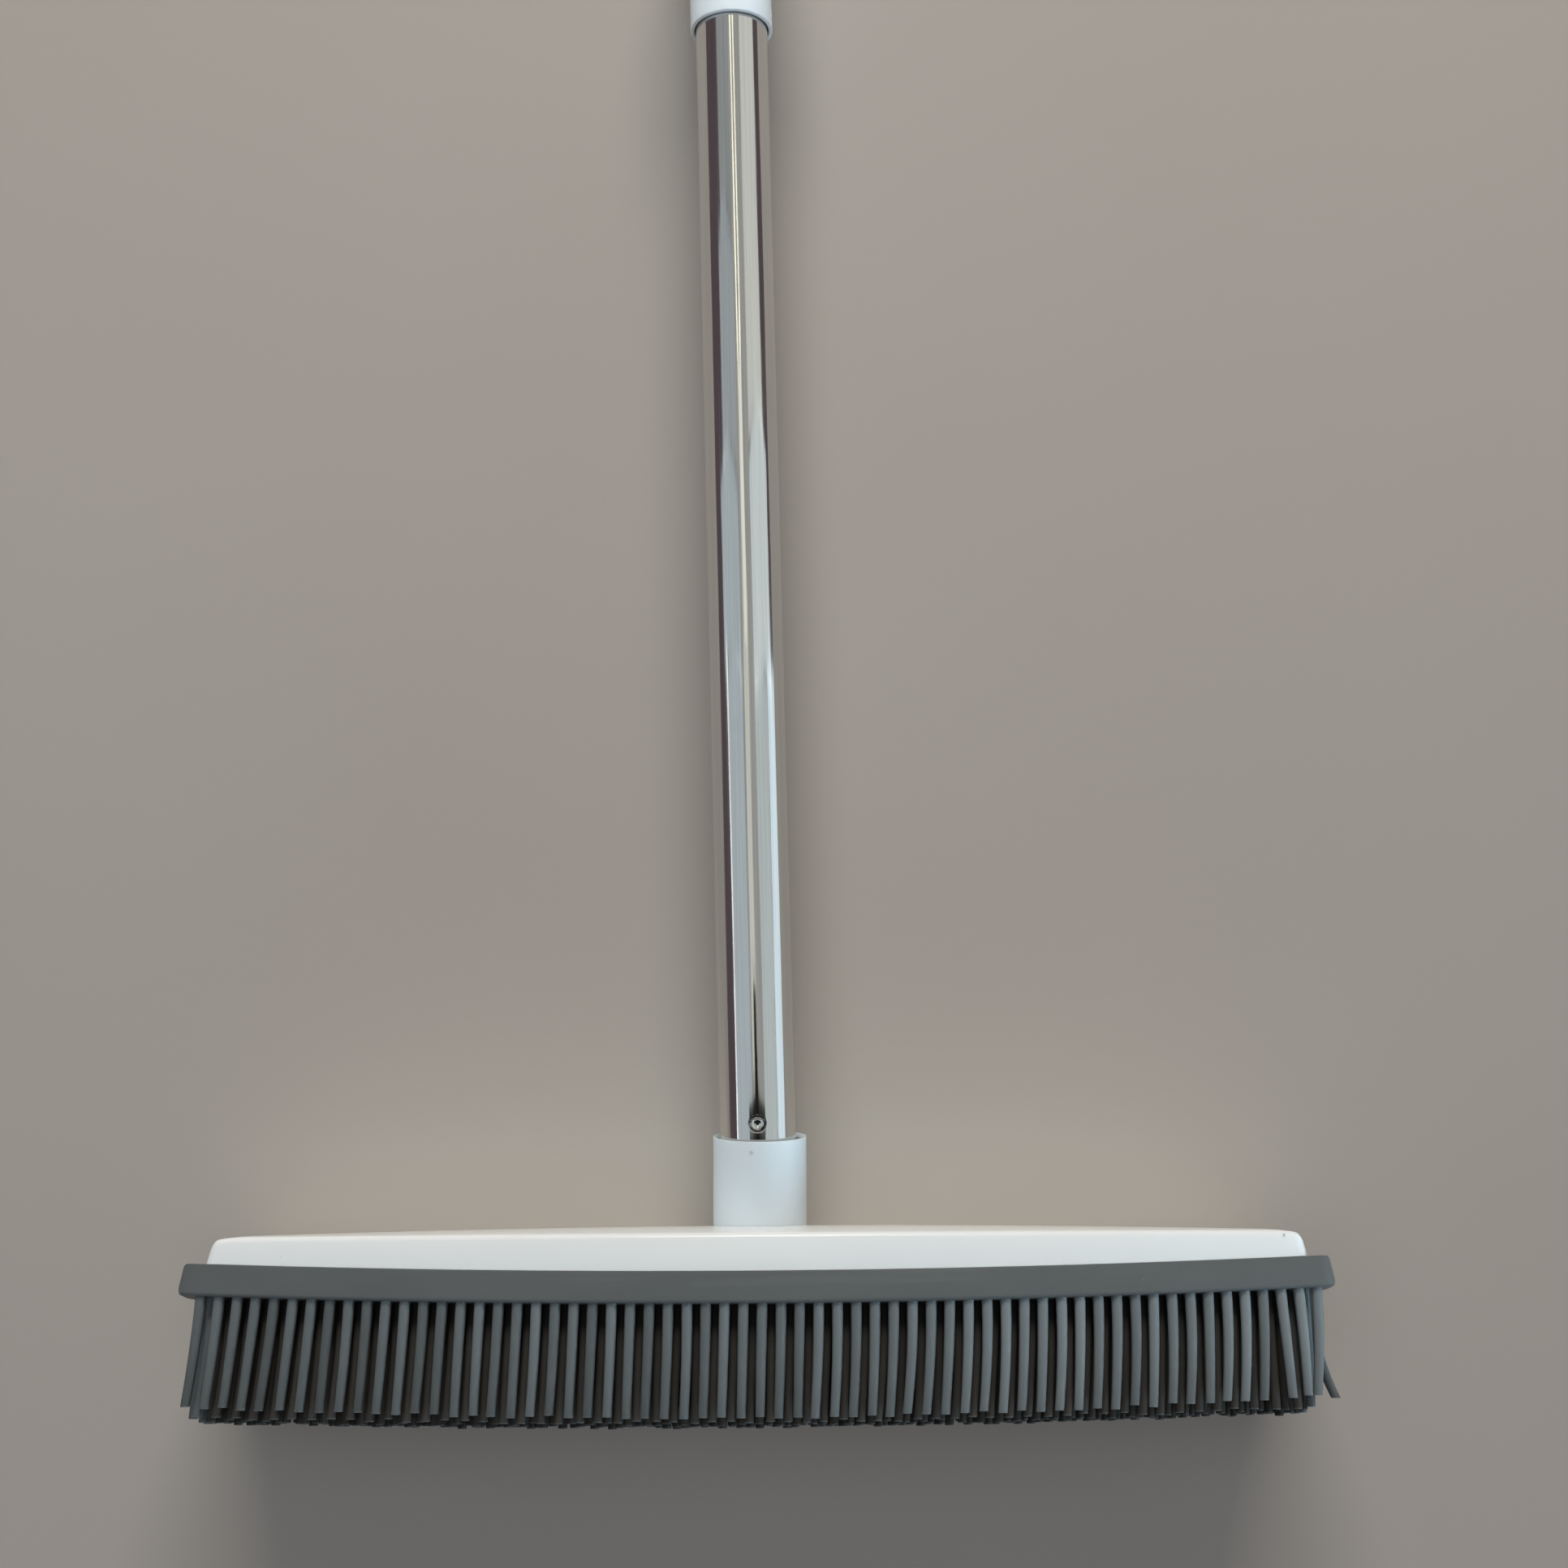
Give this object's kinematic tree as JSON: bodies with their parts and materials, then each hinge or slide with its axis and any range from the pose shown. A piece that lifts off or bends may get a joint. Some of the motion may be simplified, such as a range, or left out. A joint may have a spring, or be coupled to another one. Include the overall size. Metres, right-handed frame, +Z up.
{
  "type": "rubber-bristle carpet broom",
  "caption": "Carpet broom with a domed rubber-bristle head and a two-part telescopic steel pole locked by a twist collar.",
  "frame": {"origin": "middle of the footprint on the floor, with the broom lying on the far side of its head and on its pole's end", "axes": "+X along the head, +Y up the pole away from the bristles, +Z up from the floor"},
  "size_m": [0.3156, 1.0924, 0.0607],
  "materials": {
    "white_shell": "gloss white, slightly warm",
    "white_socket": "gloss white, slightly blue",
    "white_collar": "gloss white",
    "white_nylon": "satin, as moulded",
    "grey_rubber": "matt grey thermoplastic rubber",
    "grip_rubber": "matt grey thermoplastic rubber",
    "tube_steel": "polished stainless steel",
    "screw_zinc": "zinc-plated steel"
  },
  "bodies": {
    "head_and_lower_pole": {"head_shell": "white_shell", "handle_socket": "white_socket", "socket_screw_1": "screw_zinc", "socket_screw_2": "screw_zinc", "base_plate": "white_nylon", "bristle_pad": "grey_rubber", "plate_screw_1": "screw_zinc", "plate_screw_2": "screw_zinc", "plate_screw_3": "screw_zinc", "plate_screw_4": "screw_zinc", "lower_tube": "tube_steel", "thread_plug": "white_nylon", "guide_bush": "white_nylon"},
    "upper_pole": {"upper_tube": "tube_steel", "thread_sleeve": "white_nylon", "collet_ring": "white_nylon", "handle_grip": "grip_rubber", "end_cap": "white_collar"},
    "collar": {"locking_collar": "white_collar"}
  },
  "joints": [
    {"name": "pole_extend", "type": "slide", "parent": "head_and_lower_pole", "child": "upper_pole", "axis": [0, 1, -0.0092], "range_m": [-0.31, 0.2]},
    {"name": "collar_twist", "type": "hinge", "parent": "upper_pole", "child": "collar", "pos_m": [0.00042, -0.1312, 0.02042], "axis": [0, 1, -0.0092], "range_deg": [0, 90]}
  ]
}
